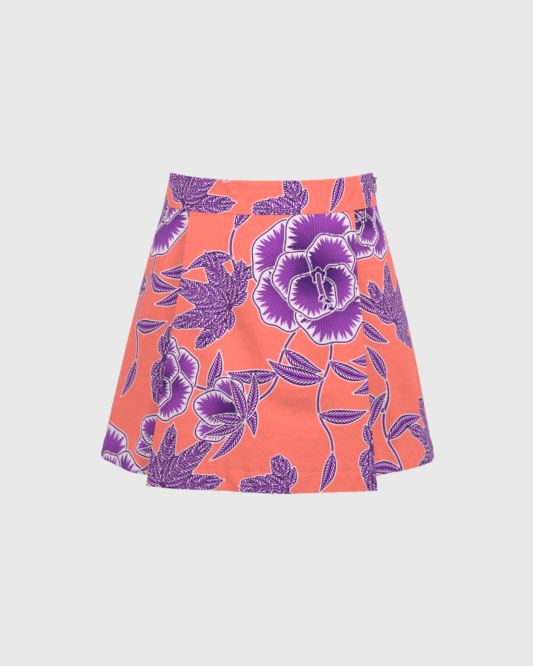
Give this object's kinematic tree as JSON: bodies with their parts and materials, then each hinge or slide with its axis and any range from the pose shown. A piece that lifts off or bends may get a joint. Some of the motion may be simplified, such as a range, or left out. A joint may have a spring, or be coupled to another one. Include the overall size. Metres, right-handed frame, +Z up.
{
  "type": "pleated skort",
  "caption": "High-waisted A-line mini skort, filled out and hollow: a wide front panel folded as a box pleat, shaped waistband, hidden side zip and plain shorts inside.",
  "frame": {"origin": "middle of the waist, half way up the waistband at the side seams, where the wearer's waist holds the garment", "axes": "+Z up, the front of the garment faces -Y, the side zip is on +X, the wearer's left"},
  "size_m": [0.4136, 0.3084, 0.3712],
  "materials": {
    "printed_cotton": "smooth printed cotton, matt",
    "shorts_cotton": "plain cotton, matt",
    "zip_coil": "woven and coiled polyester",
    "zip_metal": "satin lacquer, tan"
  },
  "bodies": {
    "skort": {"waistband_front": "printed_cotton", "waistband_back": "printed_cotton", "front_panel": "printed_cotton", "side_front_right": "printed_cotton", "side_front_left": "printed_cotton", "back_panel": "printed_cotton", "shorts_right": "shorts_cotton", "shorts_left": "shorts_cotton", "zip_chain": "zip_coil", "zip_slider": "zip_metal"},
    "zip_pull": {"zip_pull_tab": "zip_metal"}
  },
  "joints": [
    {"name": "zip_pull_hinge", "type": "hinge", "parent": "skort", "child": "zip_pull", "pos_m": [0.12998, 0, 0.01354], "axis": [0, -1, 0], "range_deg": [0, 150]}
  ]
}
